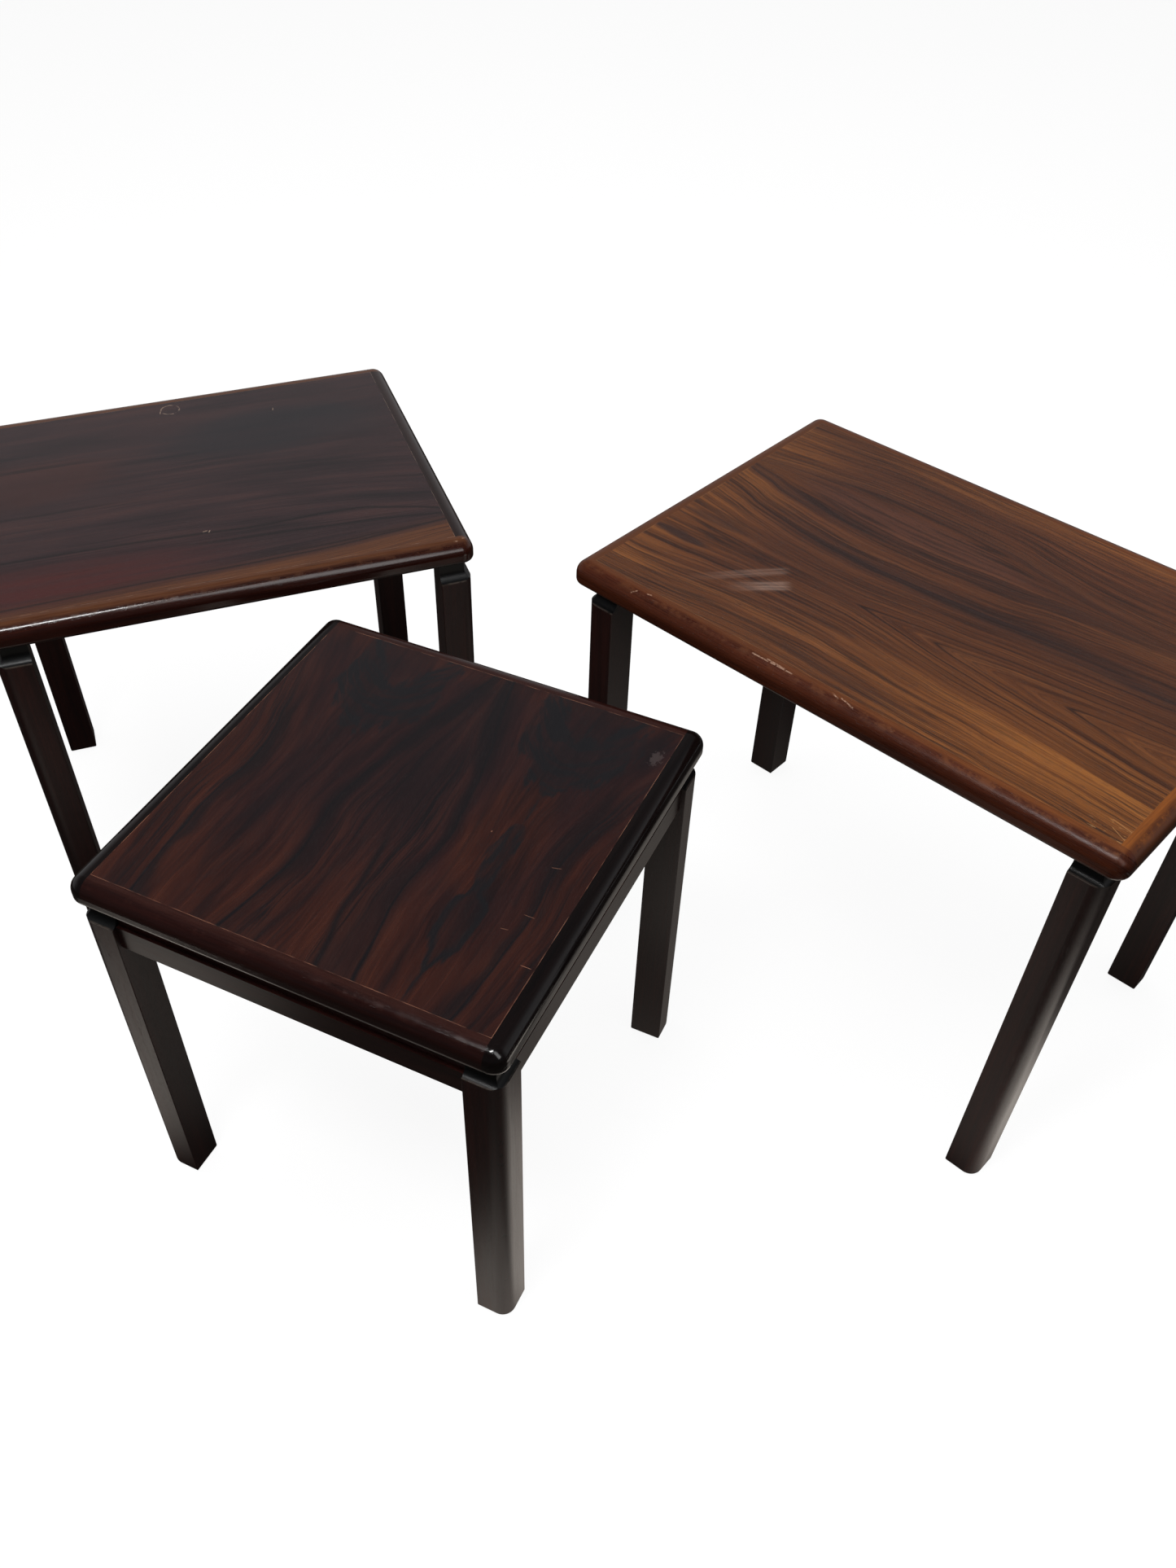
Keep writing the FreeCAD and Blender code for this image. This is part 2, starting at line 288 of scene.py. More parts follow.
# ---- veneers ------------------------------------------------------------------------------
def large_veneer():
    """Sun-faded rosewood: golden brown, with an eye-shaped figure and a cathedral beside it."""
    g = Graph("large_veneer")
    x, y, _ = g.local("large")
    sway = g.drift((x, 6.0), (y, 9.0), 1.3, detail=2.0)
    jitter = g.drift((x, 30.0), (y, 60.0), 5.0, detail=2.0)
    level = g.add(y, g.add(g.mul(sway, 0.012), g.mul(jitter, 0.0020)))
    # Round the eye the lines of the grain part, and inside it they stand wide apart.
    eye_top = g.path(x, (-0.300, 0.082), (-0.215, 0.099), (-0.150, 0.111), (-0.090, 0.114),
                     (-0.015, 0.111), (0.060, 0.098), (0.165, 0.086), (0.310, 0.082))
    eye_bottom = g.path(x, (-0.300, 0.068), (-0.255, 0.056), (-0.215, 0.047), (-0.140, 0.045),
                        (-0.040, 0.046), (0.035, 0.051), (0.110, 0.064), (0.310, 0.076))
    in_eye = g.clamp(g.math("DIVIDE", g.sub(level, eye_bottom), g.sub(eye_top, eye_bottom)))
    above = g.math("MAXIMUM", g.sub(level, eye_top), 0.0)
    below = g.math("MINIMUM", g.sub(level, eye_bottom), 0.0)
    # The grain follows the eye's edges, and runs level again farther away.
    at_top, at_bottom, fades_over = 0.090, 0.064, 0.080
    above = g.add(g.add(above, eye_top),
                  g.mul(g.sub(at_top, eye_top), g.bell(above, fades_over)))
    below = g.add(g.add(below, eye_bottom),
                  g.mul(g.sub(at_bottom, eye_bottom), g.bell(below, fades_over)))
    across = g.add(g.add(below, g.sub(above, at_top)), g.mul(in_eye, at_top - at_bottom))
    # Towards the left end the lines fan out from the cathedral's axis.
    axis = -0.071
    off = g.sub(across, axis)
    fan = g.mul(g.fade(x, -0.080, -0.300), 0.42)
    off = g.sub(off, g.mul(fan, g.mul(off, g.bell(off, 0.110))))
    across = g.add(off, axis)
    # The cathedral: nested points that open to the right.
    first_point, opening, half_width = -0.050, 0.19, 0.055
    opened = g.sub(x, first_point)
    opened = g.mul(g.add(opened, g.size(opened, 0.018)), 0.5)
    reach = g.math("DIVIDE", 1.0, g.add(1.0, g.math("POWER", g.mul(off, 1.0 / half_width), 2.0)))
    ring = g.sub(g.size(off, 0.0025), g.mul(g.mul(opened, opening), reach))
    # The two sides of the cathedral grow apart away from its axis.
    side = g.mul(g.fade(off, -0.060, 0.060), 1.6)

    broad = g.noise((ring, 42.0), (x, 1.6), g.add(side, 0.7), detail=2.0)
    middling = g.noise((ring, 150.0), (x, 3.0), g.add(side, 2.9), roughness=0.6)
    narrow = g.noise((ring, 520.0), (x, 9.0), g.add(side, 5.2), roughness=0.6)
    tone = g.add(g.add(g.mul(broad, 0.34), g.mul(middling, 0.32)), g.mul(narrow, 0.34))
    brown = g.ramp(tone,
                   (0.36, (0.030, 0.0100, 0.0055)),
                   (0.50, (0.068, 0.0215, 0.0090)),
                   (0.62, (0.108, 0.0370, 0.0150)))
    golden = g.ramp(tone,
                    (0.36, (0.052, 0.0155, 0.0050)),
                    (0.50, (0.150, 0.0490, 0.0110)),
                    (0.62, (0.260, 0.0930, 0.0190)))
    # The sun has bleached the left end, the front and the near corner more than the rest.
    left = g.fade(x, -0.16, -0.29)
    front = g.mul(g.fade(y, 0.03, -0.20), g.fade(x, -0.22, 0.27))
    rear = g.mul(g.fade(y, 0.150, 0.195), 0.45)
    bleached = any_of(g, [g.mul(left, 0.55), front, rear, g.mul(g.fade(y, -0.10, -0.19), 0.35)])
    bleached = g.add(bleached, g.mul(g.sub(broad, 0.5), 0.5))
    colour = g.mix(bleached, brown, golden)
    colour = g.mix(g.mul(g.spot(x, y, (-0.085, 0.078), (0.16, 0.026), 0.6, (10.0, 30.0)), 0.5),
                   colour, (0.078, 0.030, 0.020))
    pale_back = g.mul(g.fade(y, 0.06, 0.19), g.fade(x, -0.15, 0.15))
    colour = g.mix(g.mul(pale_back, 0.6), colour, (1.35, 1.30, 1.25), "MULTIPLY")

    # Broad dark bands along the eye's edges, between eye and cathedral, and near the front.
    between = g.path(x, (-0.25, 0.004), (-0.10, 0.004), (0.08, 0.006), (0.20, 0.000))
    bands = any_of(g, [
        g.mul(g.vein(level, eye_bottom, 0.0085), g.fade(x, 0.30, 0.06)),
        g.mul(g.vein(level, g.add(eye_top, 0.002), 0.007), g.mul(g.fade(x, 0.24, 0.05), 0.75)),
        g.mul(g.vein(across, between, 0.015), g.fade(x, -0.24, -0.10)),
        g.mul(g.spot(x, level, (0.000, -0.176), (0.110, 0.0075), 0.8, (12.0, 90.0)), 0.65)])
    streaked = g.spread(g.fade(middling, 0.36, 0.60), 1.0, 0.55)
    colour = g.mix(g.mul(g.mul(bands, streaked), 0.86), colour, (0.019, 0.0100, 0.0096))
    # Two short dark patches at the left end.
    dark_ends = any_of(g, [
        g.spot(x, y, (-0.262, -0.098), (0.044, 0.0080), 0.8, (26.0, 140.0)),
        g.mul(g.spot(x, y, (-0.250, -0.051), (0.046, 0.0075), 0.9, (26.0, 140.0)), 0.65)])
    colour = g.mix(g.mul(dark_ends, 0.80), colour, (0.018, 0.0098, 0.0095))
    # Thin ink-dark lines a few millimetres apart, some bold and some faint.
    inked = g.noise((ring, 120.0), (x, 2.2), g.add(side, 8.0), detail=2.0, roughness=0.45)
    bold = g.fade(g.noise((ring, 60.0), (x, 3.5), g.add(side, 4.0), detail=2.0), 0.36, 0.60)
    lines = g.mul(g.math("MAXIMUM", g.vein(inked, 0.50, 0.030), g.vein(inked, 0.62, 0.024)), bold)
    in_cathedral = g.mul(g.fade(ring, 0.012, 0.002), g.fade(x, -0.09, -0.04))
    lines = g.mul(lines, g.sub(1.0, g.mul(in_cathedral, 0.65)))
    hairs = g.fade(g.noise((ring, 560.0), (x, 5.0), g.add(side, 3.0), detail=1.0), 0.58, 0.68)
    # Sharp dark lines that meet in points on the cathedral's axis.
    points = any_of(g, [g.mul(g.vein(ring, place, width), strength) for place, width, strength in (
        (0.0008, 0.0010, 1.0), (-0.0138, 0.0009, 0.9), (-0.0190, 0.0007, 0.5),
        (-0.0405, 0.0010, 0.9), (0.0120, 0.0009, 0.6))])
    near_axis = g.mul(g.fade(x, -0.075, -0.045), g.fade(g.math("ABSOLUTE", off), 0.075, 0.03))
    points = g.mul(points, near_axis)
    lines = g.math("MAXIMUM", g.mul(lines, 0.74), g.mul(points, 0.95))
    colour = g.mix(lines, colour, (0.0150, 0.0070, 0.0055))
    colour = g.mix(g.mul(hairs, 0.55), colour, (0.0200, 0.0085, 0.0060))
    open_pores = pores(g, x, across, amount=0.8)
    colour = g.mix(g.mul(open_pores, 0.45), colour, (0.020, 0.010, 0.007))

    smudge = g.math("MAXIMUM",
                    stroke(g, x, y, (-0.168, -0.138), (-0.121, -0.092), 0.0110),
                    g.mul(stroke(g, x, y, (-0.210, -0.158), (-0.138, -0.072), 0.0085), 0.50))
    colour = g.mix(g.mul(smudge, 0.42), colour, (0.36, 0.24, 0.19))
    crackle = g.fade(g.noise((x, 120.0), (y, 500.0), 2.0), 0.60, 0.66)
    crackle = g.mul(crackle, g.spot(x, y, (0.280, -0.186), (0.030, 0.016)))
    marks = any_of(g, [
        g.mul(crackle, 0.8),
        scratch(g, x, y, (0.272, -0.172), (0.292, -0.176)),
        scratch(g, x, y, (0.276, -0.181), (0.294, -0.190)),
        g.mul(glue_line(g, x, y, TABLES["large"]["board"], 3.0), 0.35)])
    colour = g.mix(g.mul(marks, 0.45), colour, (0.50, 0.26, 0.10))
    roughness = g.add(g.spread(narrow, 0.34, 0.46), g.mul(smudge, 0.12))
    height = g.sub(g.mul(narrow, 0.30), g.add(g.mul(open_pores, 0.8), g.mul(lines, 0.3)))
    return g.finish(colour, roughness, height, 0.00012, specular=0.32)


def middle_veneer():
    """Dark purple-brown rosewood with little contrast and a golden strip along the front."""
    g = Graph("middle_veneer")
    x, y, _ = g.local("middle")
    sway = g.drift((x, 5.0), (y, 8.0), 7.7, detail=2.0)
    jitter = g.drift((x, 25.0), (y, 60.0), 3.0, detail=2.0)
    # Towards the right end the lines close on a point from both sides.
    run = g.math("POWER", g.math("MAXIMUM", g.mul(g.add(x, 0.260), 2.0), 0.0), 3.0)
    bend = g.mul(g.mul(run, 0.036), g.math("TANH", g.mul(g.add(y, 0.148), 40.0)))
    bend = g.mul(bend, g.fade(y, 0.10, -0.06))
    across = g.add(g.add(y, bend), g.add(g.mul(sway, 0.012), g.mul(jitter, 0.002)))
    level = g.add(y, g.add(g.mul(sway, 0.006), g.mul(jitter, 0.002)))
    broad = g.noise((across, 22.0), (x, 4.0), 1.9, detail=2.0)
    middling = g.noise((across, 95.0), (x, 4.0), 6.1, roughness=0.6)
    narrow = g.noise((across, 420.0), (x, 12.0), 0.2)
    tone = g.add(g.add(g.mul(broad, 0.45), g.mul(middling, 0.33)), g.mul(narrow, 0.22))
    colour = g.ramp(tone,
                    (0.38, (0.0120, 0.0070, 0.0080)),
                    (0.50, (0.0245, 0.0120, 0.0130)),
                    (0.62, (0.0390, 0.0170, 0.0160)))
    # A greyish-blue patch over the back right of the top: a painted reflection, the room's sheen on
    # the far part of the top.
    painted_sheen = g.spot(x, y, (0.090, 0.095), (0.145, 0.060), 0.8, (7.0, 14.0))
    colour = g.mix(g.mul(painted_sheen, 0.60), colour, (0.0110, 0.0110, 0.0135))
    warm = g.spot(x, y, (-0.190, 0.055), (0.110, 0.055), 0.8, (7.0, 20.0))
    colour = g.mix(g.mul(warm, 0.50), colour, (0.040, 0.012, 0.009))
    red = g.mul(g.fade(across, -0.092, -0.140), g.fade(x, 0.06, -0.16))
    colour = g.mix(g.mul(red, g.spread(g.fade(middling, 0.3, 0.6), 0.5, 0.95)), colour,
                   (0.048, 0.0095, 0.0085))
    # The strip's upper limit climbs to the right, under a brown fringe.
    limit = g.path(x, (-0.260, -0.189), (-0.100, -0.184), (0.050, -0.181), (0.150, -0.174),
                   (0.260, -0.160))
    frayed = g.add(g.mul(sway, 0.008), g.mul(g.sub(middling, 0.5), 0.012))
    into_strip = g.sub(limit, g.add(y, frayed))
    fringe = g.mul(g.fade(into_strip, -0.022, 0.0),
                   g.spread(g.fade(middling, 0.35, 0.60), 0.35, 0.80))
    colour = g.mix(fringe, colour, (0.046, 0.0165, 0.0100))
    golden = g.fade(into_strip, -0.004, 0.008)
    golden = g.mul(golden, g.spread(g.fade(x, -0.27, 0.10), 0.70, 1.0))
    strip = g.ramp(g.add(g.mul(middling, 0.5), g.mul(narrow, 0.5)),
                   (0.36, (0.040, 0.013, 0.007)), (0.62, (0.105, 0.038, 0.014)))
    colour = g.mix(golden, colour, strip)
    lines = any_of(g, [
        g.mul(g.fade(g.noise((across, 100.0), (x, 1.5), 9.0, detail=2.0), 0.62, 0.72), 0.55),
        g.mul(g.fade(g.noise((across, 330.0), (x, 4.0), 1.0, detail=2.0), 0.58, 0.72), 0.45),
        g.mul(g.vein(level, g.path(x, (-0.26, -0.097), (-0.114, -0.099), (-0.039, -0.104),
                                   (0.046, -0.109), (0.136, -0.107), (0.186, -0.117),
                                   (0.260, -0.146)), 0.0024), 0.85),
        g.mul(g.vein(level, g.path(x, (-0.114, -0.114), (-0.014, -0.124), (0.086, -0.131),
                                   (0.180, -0.138), (0.260, -0.150)), 0.0026),
              g.mul(g.fade(x, -0.10, 0.02), 0.75)),
        g.mul(g.vein(level, g.add(limit, 0.005), 0.0016), 0.75),
        g.mul(g.vein(level, -0.012, 0.0026), g.mul(g.fade(x, -0.05, -0.15), 0.60))])
    colour = g.mix(lines, colour, (0.0060, 0.0042, 0.0045))
    open_pores = pores(g, x, across, amount=0.3)
    colour = g.mix(g.mul(open_pores, 0.35), colour, (0.007, 0.004, 0.004))

    ring = g.size(g.sub(x, -0.015), g.sub(y, 0.179))
    arc = g.mul(g.vein(ring, 0.011, 0.0007), g.fade(g.noise((x, 90.0), (y, 90.0), 2.0), 0.44, 0.56))
    marks = any_of(g, [
        arc,
        scratch(g, x, y, (-0.028, 0.172), (-0.027, 0.178), 0.0009),
        scratch(g, x, y, (-0.018, -0.102), (-0.013, -0.101), 0.0009),
        scratch(g, x, y, (-0.012, -0.105), (-0.010, -0.101), 0.0009),
        scratch(g, x, y, (0.104, 0.139), (0.105, 0.144), 0.0007),
        g.mul(glue_line(g, x, y, TABLES["middle"]["board"], 8.0), 0.35)])
    colour = g.mix(g.mul(marks, 0.45), colour, (0.42, 0.30, 0.22))
    roughness = g.add(g.spread(narrow, 0.20, 0.27), g.mul(marks, 0.2))
    height = g.sub(g.mul(narrow, 0.2), g.mul(open_pores, 0.6))
    return g.finish(colour, roughness, height, 0.00005)


def small_veneer():
    """Two book-matched leaves of dark flamed rosewood that meet in a seam along the middle."""
    g = Graph("small_veneer")
    x, y, _ = g.local("small")
    from_seam = g.add(y, 0.003)
    leaf = g.math("ABSOLUTE", from_seam)
    near_leaf = g.fade(from_seam, 0.001, -0.001)
    side = g.mul(near_leaf, 0.30)
    sway = g.drift((x, 7.0), (leaf, 12.0), side, detail=2.0)
    jitter = g.drift((x, 28.0), (leaf, 45.0), side)
    wobble = g.add(g.mul(sway, 0.010), g.mul(jitter, 0.0035))
    # Two long veins steer the grain of each leaf: one bends to the seam, one to the outer edge.
    inner = g.path(x, (-0.200, 0.067), (-0.140, 0.057), (-0.097, 0.052), (-0.060, 0.054),
                   (-0.028, 0.058), (0.015, 0.053), (0.060, 0.045), (0.110, 0.032),
                   (0.150, 0.021), (0.205, 0.010))
    outer = g.path(x, (-0.200, 0.155), (-0.140, 0.161), (-0.060, 0.163), (-0.020, 0.159),
                   (0.020, 0.161), (0.065, 0.172), (0.110, 0.184), (0.205, 0.215))
    axis = g.add(0.097, g.mul(near_leaf, 0.010))
    level = g.add(leaf, wobble)
    under = g.math("MINIMUM", g.math("DIVIDE", level, inner), 1.0)
    between = g.clamp(g.math("DIVIDE", g.sub(level, inner), g.sub(outer, inner)))
    beyond = g.math("MAXIMUM", g.sub(level, outer), 0.0)
    across = g.add(g.add(g.mul(under, 0.055), g.mul(between, 0.105)), beyond)
    broad = g.noise((across, 42.0), (x, 6.0), side, detail=2.0)
    middling = g.noise((across, 130.0), (x, 9.0), side, roughness=0.6)
    narrow = g.noise((across, 480.0), (x, 20.0), 3.3, roughness=0.6)
    tone = g.add(g.add(g.mul(broad, 0.52), g.mul(middling, 0.24)), g.mul(narrow, 0.24))
    maroon = g.ramp(tone,
                    (0.38, (0.0085, 0.0048, 0.0056)),
                    (0.50, (0.0160, 0.0062, 0.0066)),
                    (0.62, (0.0250, 0.0088, 0.0082)))
    russet = g.ramp(tone,
                    (0.38, (0.0140, 0.0050, 0.0044)),
                    (0.50, (0.0285, 0.0078, 0.0052)),
                    (0.62, (0.0440, 0.0122, 0.0070)))
    rusty = any_of(g, [
        g.fade(x, -0.02, -0.18),
        g.mul(g.fade(leaf, 0.120, 0.180), g.fade(x, 0.18, -0.02)),
        g.mul(g.spot(x, leaf, (0.0, 0.100), (0.09, 0.045), 0.6, (9.0, 20.0)), near_leaf),
        g.mul(g.fade(x, 0.165, 0.195), 0.6)])
    rusty = g.add(g.mul(rusty, 0.85), g.mul(g.sub(broad, 0.5), 0.9))
    colour = g.mix(rusty, maroon, russet)

    # Heartwood: a blunt dark arrowhead on each leaf, with a paler point inside it.
    off_axis = g.add(g.math("ABSOLUTE", g.sub(leaf, axis)), g.mul(wobble, 0.8))
    tear = g.drift((x, 22.0), (leaf, 70.0), side, detail=4.0, roughness=0.65)

    def blunt_point(tip, half_width, length=0.030):
        """Below 0 inside a point that opens to the right, half_width to each side at length."""
        return g.sub(g.math("POWER", g.mul(off_axis, 1.0 / half_width), 2.0),
                     g.mul(g.sub(x, tip), 1.0 / length))

    nose = blunt_point(0.072, 0.042)
    arrow = g.mul(g.fade(g.add(nose, g.mul(tear, 3.4)), 0.15, -0.20),
                  g.fade(g.add(off_axis, g.mul(tear, 0.040)), 0.056, 0.050))
    hollow = g.fade(g.add(blunt_point(0.140, 0.024), g.mul(tear, 2.8)), 0.15, -0.30)
    arrow = g.mul(arrow, g.sub(1.0, g.mul(hollow, 0.80)))
    arcs = g.noise((nose, 2.6), (leaf, 30.0), side, roughness=0.65)
    arcs = g.spread(g.fade(arcs, 0.45, 0.58), 1.0, 0.50)
    # The pod has a dark rim and a browner heart, and a frayed tail to its right.
    pod_leaf = g.sub(leaf, g.path(x, (-0.170, 0.111), (-0.100, 0.112), (-0.040, 0.108),
                                  (0.030, 0.108)))
    pod_half = g.path(x, (-0.166, 0.001), (-0.145, 0.010), (-0.110, 0.018), (-0.085, 0.019),
                      (-0.066, 0.008), (-0.040, 0.012), (0.000, 0.010), (0.022, 0.001))
    fray = g.drift((x, 26.0), (leaf, 190.0), side, detail=4.0, roughness=0.6)
    depth = g.sub(pod_half, g.add(g.math("ABSOLUTE", pod_leaf), g.mul(fray, 0.014)))
    pod = g.fade(depth, -0.001, 0.0025)
    heart = g.mul(g.fade(depth, 0.004, 0.011), g.fade(x, -0.02, -0.09))
    tail = g.mul(g.fade(x, -0.060, -0.045), g.fade(fray, -0.10, 0.08))
    pod = g.mul(pod, g.sub(1.0, g.math("MAXIMUM", g.mul(heart, 0.75), g.mul(tail, 0.60))))
    pod = g.mul(pod, g.spread(near_leaf, 0.22, 1.0))
    dark = g.math("MAXIMUM", g.mul(arrow, arcs), pod)
    colour = g.mix(g.mul(dark, 0.93), colour, (0.0068, 0.0068, 0.0082))

    # Ink-dark veins, then thin lines that keep them company.
    inked = g.noise((across, 105.0), (x, 3.0), side, detail=2.0, roughness=0.45)
    bold = g.fade(g.noise((across, 45.0), (x, 6.0), g.add(side, 2.0), detail=2.0), 0.34, 0.54)
    company = any_of(g, [g.vein(across, 0.028, 0.026), g.vein(across, 0.174, 0.020), 0.30])
    inked = g.mul(g.math("MAXIMUM", g.vein(inked, 0.50, 0.030), g.vein(inked, 0.60, 0.022)),
                  g.mul(bold, company))
    swell = g.spread(g.fade(g.noise((x, 11.0), 0.0, side, detail=1.0), 0.40, 0.60), 0.6, 1.5)
    from_inner = g.math("DIVIDE", g.sub(level, inner), swell)
    from_outer = g.math("DIVIDE", g.sub(level, outer), swell)
    near_seam = g.path(x, (-0.200, 0.030), (-0.172, 0.026), (-0.140, 0.018), (-0.097, 0.014),
                       (-0.040, 0.007))
    shade = g.mul(g.bell(leaf, 0.045), g.bell(g.sub(x, 0.030), 0.095))
    shade_left = g.mul(g.vein(level, 0.040, 0.018), g.fade(x, -0.03, -0.09))
    shade_left = g.mul(shade_left, g.spread(near_leaf, 0.6, 1.2))
    shade = g.mul(g.math("MAXIMUM", shade, shade_left), 0.55)
    colour = g.mix(shade, colour, (0.0095, 0.0062, 0.0072))

    def short_line(*points):
        """A thin line that starts sharply and fades out to the right."""
        start = points[0][0]
        ends = g.mul(g.fade(x, start, start + 0.010), g.fade(x, 0.06, 0.0))
        return g.mul(g.vein(level, g.path(x, *points), 0.0022), g.mul(ends, 0.45))

    lines = any_of(g, [
        g.mul(inked, 0.95),
        g.mul(g.fade(g.noise((across, 420.0), (x, 8.0), 7.0), 0.60, 0.74), 0.35),
        g.bell(from_inner, 0.0026),
        g.mul(g.bell(g.add(from_inner, 0.003), 0.0085),
              g.spread(g.fade(x, -0.15, -0.04), 0.45, 0.80)),
        g.mul(g.bell(from_outer, 0.0026), g.fade(x, 0.15, 0.05)),
        g.mul(g.bell(g.add(from_outer, 0.004), 0.0065), g.mul(g.fade(x, 0.12, -0.02), 0.80)),
        g.mul(g.vein(level, near_seam, 0.0042),
              g.mul(g.fade(x, -0.02, -0.06), g.spread(near_leaf, 0.5, 0.9))),
        short_line((-0.095, 0.072), (-0.060, 0.077), (-0.010, 0.075), (0.060, 0.060)),
        short_line((-0.075, 0.149), (-0.047, 0.144), (0.003, 0.146), (0.060, 0.155))])
    colour = g.mix(lines, colour, (0.0062, 0.0050, 0.0060))
    open_pores = pores(g, x, across, amount=0.3)
    colour = g.mix(g.mul(open_pores, 0.35), colour, (0.006, 0.004, 0.004))

    smudge = g.spot(x, y, (0.155, -0.184), (0.011, 0.006), 2.6, (190.0, 190.0))
    colour = g.mix(g.mul(smudge, 0.09), colour, (0.26, 0.20, 0.19))
    marks = any_of(g, [
        scratch(g, x, y, (-0.123, -0.183), (-0.123, -0.192), 0.0004),
        g.mul(scratch(g, x, y, (-0.073, -0.161), (-0.073, -0.170), 0.0004), 0.6),
        g.mul(scratch(g, x, y, (-0.095, -0.150), (-0.094, -0.156), 0.0004), 0.6),
        g.mul(scratch(g, x, y, (-0.014, -0.158), (-0.012, -0.166), 0.0004), 0.7),
        scratch(g, x, y, (0.0015, -0.0905), (0.0028, -0.0905), 0.0009),
        g.mul(glue_line(g, x, y, TABLES["small"]["board"], 5.0), 0.7)])
    colour = g.mix(g.mul(marks, 0.42), colour, (0.44, 0.20, 0.12))
    roughness = g.add(g.spread(narrow, 0.18, 0.25), g.mul(smudge, 0.2))
    height = g.sub(g.mul(narrow, 0.2), g.mul(open_pores, 0.6))
    return g.finish(colour, roughness, height, 0.00005)


# ---- solid wood ---------------------------------------------------------------------------
def lipping(table_name, which, dark, light, roughness, worn=None, wear=0.0, reach=0.0085,
            worn_left=None, arris_highlight=0.0, scuffs=(), specular=0.5):
    """Solid lipping, grain along its length, with finish worn off the shoulder of the roll.

    wear says how much of the colour worn shows, and reach how far from the outer edge that starts.
    worn_left is the worn colour at the table's left end, arris_highlight the strength of a pale
    line along the lower edge, a painted highlight where that edge would reflect the pale floor, and
    scuffs are the ends of short scratches.
    """
    g = Graph("%s_%s_lipping" % (table_name, which))
    x, y, z = g.local(table_name)
    table = TABLES[table_name]
    along, across = (x, y) if which == "long" else (y, x)
    girth = g.add(across, g.mul(z, 0.8))
    broad = g.noise((along, 5.0), (girth, 90.0), 2.0)
    fine = g.noise((along, 28.0), (girth, 600.0), 4.0, roughness=0.6)
    tone = g.add(g.mul(broad, 0.6), g.mul(fine, 0.4))
    colour = g.ramp(tone, (0.32, dark), (0.68, light))
    open_pores = pores(g, along, girth, length=0.010, width=0.0005, amount=0.5)
    colour = g.mix(g.mul(open_pores, 0.5), colour, tuple(c * 0.4 for c in dark))
    rough = g.spread(fine, roughness - 0.04, roughness + 0.06)
    if worn:
        edge = g.math("MINIMUM",
                      g.sub(table["top"][0], g.math("ABSOLUTE", x)),
                      g.sub(table["top"][1], g.math("ABSOLUTE", y)))
        patchy = g.noise((x, 60.0), (y, 60.0), (z, 60.0), detail=6.0, roughness=0.75)
        shoulder = g.mul(g.fade(edge, 0.0020, 0.0085), g.fade(edge, 0.0160, 0.0125))
        rubbed = g.mul(shoulder, g.fade(patchy, 0.66 - wear * 0.20, 0.76 - wear * 0.16))
        flat = g.mul(g.fade(edge, reach, reach + 0.0055),
                     g.spread(g.fade(fine, 0.35, 0.6), 0.6 * wear, wear))
        rubbed = g.math("MAXIMUM", g.mul(rubbed, 0.6), flat)
        if worn_left:
            worn = g.mix(g.fade(x, -0.10, 0.25), worn_left, worn)
        colour = g.mix(g.mul(rubbed, 0.9), colour, worn)
        rough = g.add(rough, g.mul(rubbed, 0.10))
    if scuffs:
        marks = any_of(g, [scratch(g, x, y, start, end, 0.0010) for start, end in scuffs])
        marks = g.mul(marks, g.fade(g.noise((x, 300.0), (y, 500.0), 1.0), 0.36, 0.52))
        colour = g.mix(g.mul(marks, 0.38), colour, (0.60, 0.38, 0.26))
    # A pale line along the lower edge, broken here and there: a painted highlight where the rounded
    # lower edge would reflect the pale floor.
    if arris_highlight:
        patchy = g.fade(g.noise((x, 14.0), (y, 14.0), 9.0), 0.28, 0.44)
        painted_highlight_line = g.vein(z, table["lower_edge"] + 0.0036, 0.0013)
        colour = g.mix(g.mul(g.mul(painted_highlight_line, patchy), arris_highlight), colour, (0.60, 0.54, 0.48))
    height = g.sub(g.mul(fine, 0.3), g.mul(open_pores, 0.7))
    # On the glossier rolls the finish fills most of the grain.
    relief = 0.00007 if roughness > 0.2 else 0.00002
    return g.finish(colour, rough, height, relief, specular)


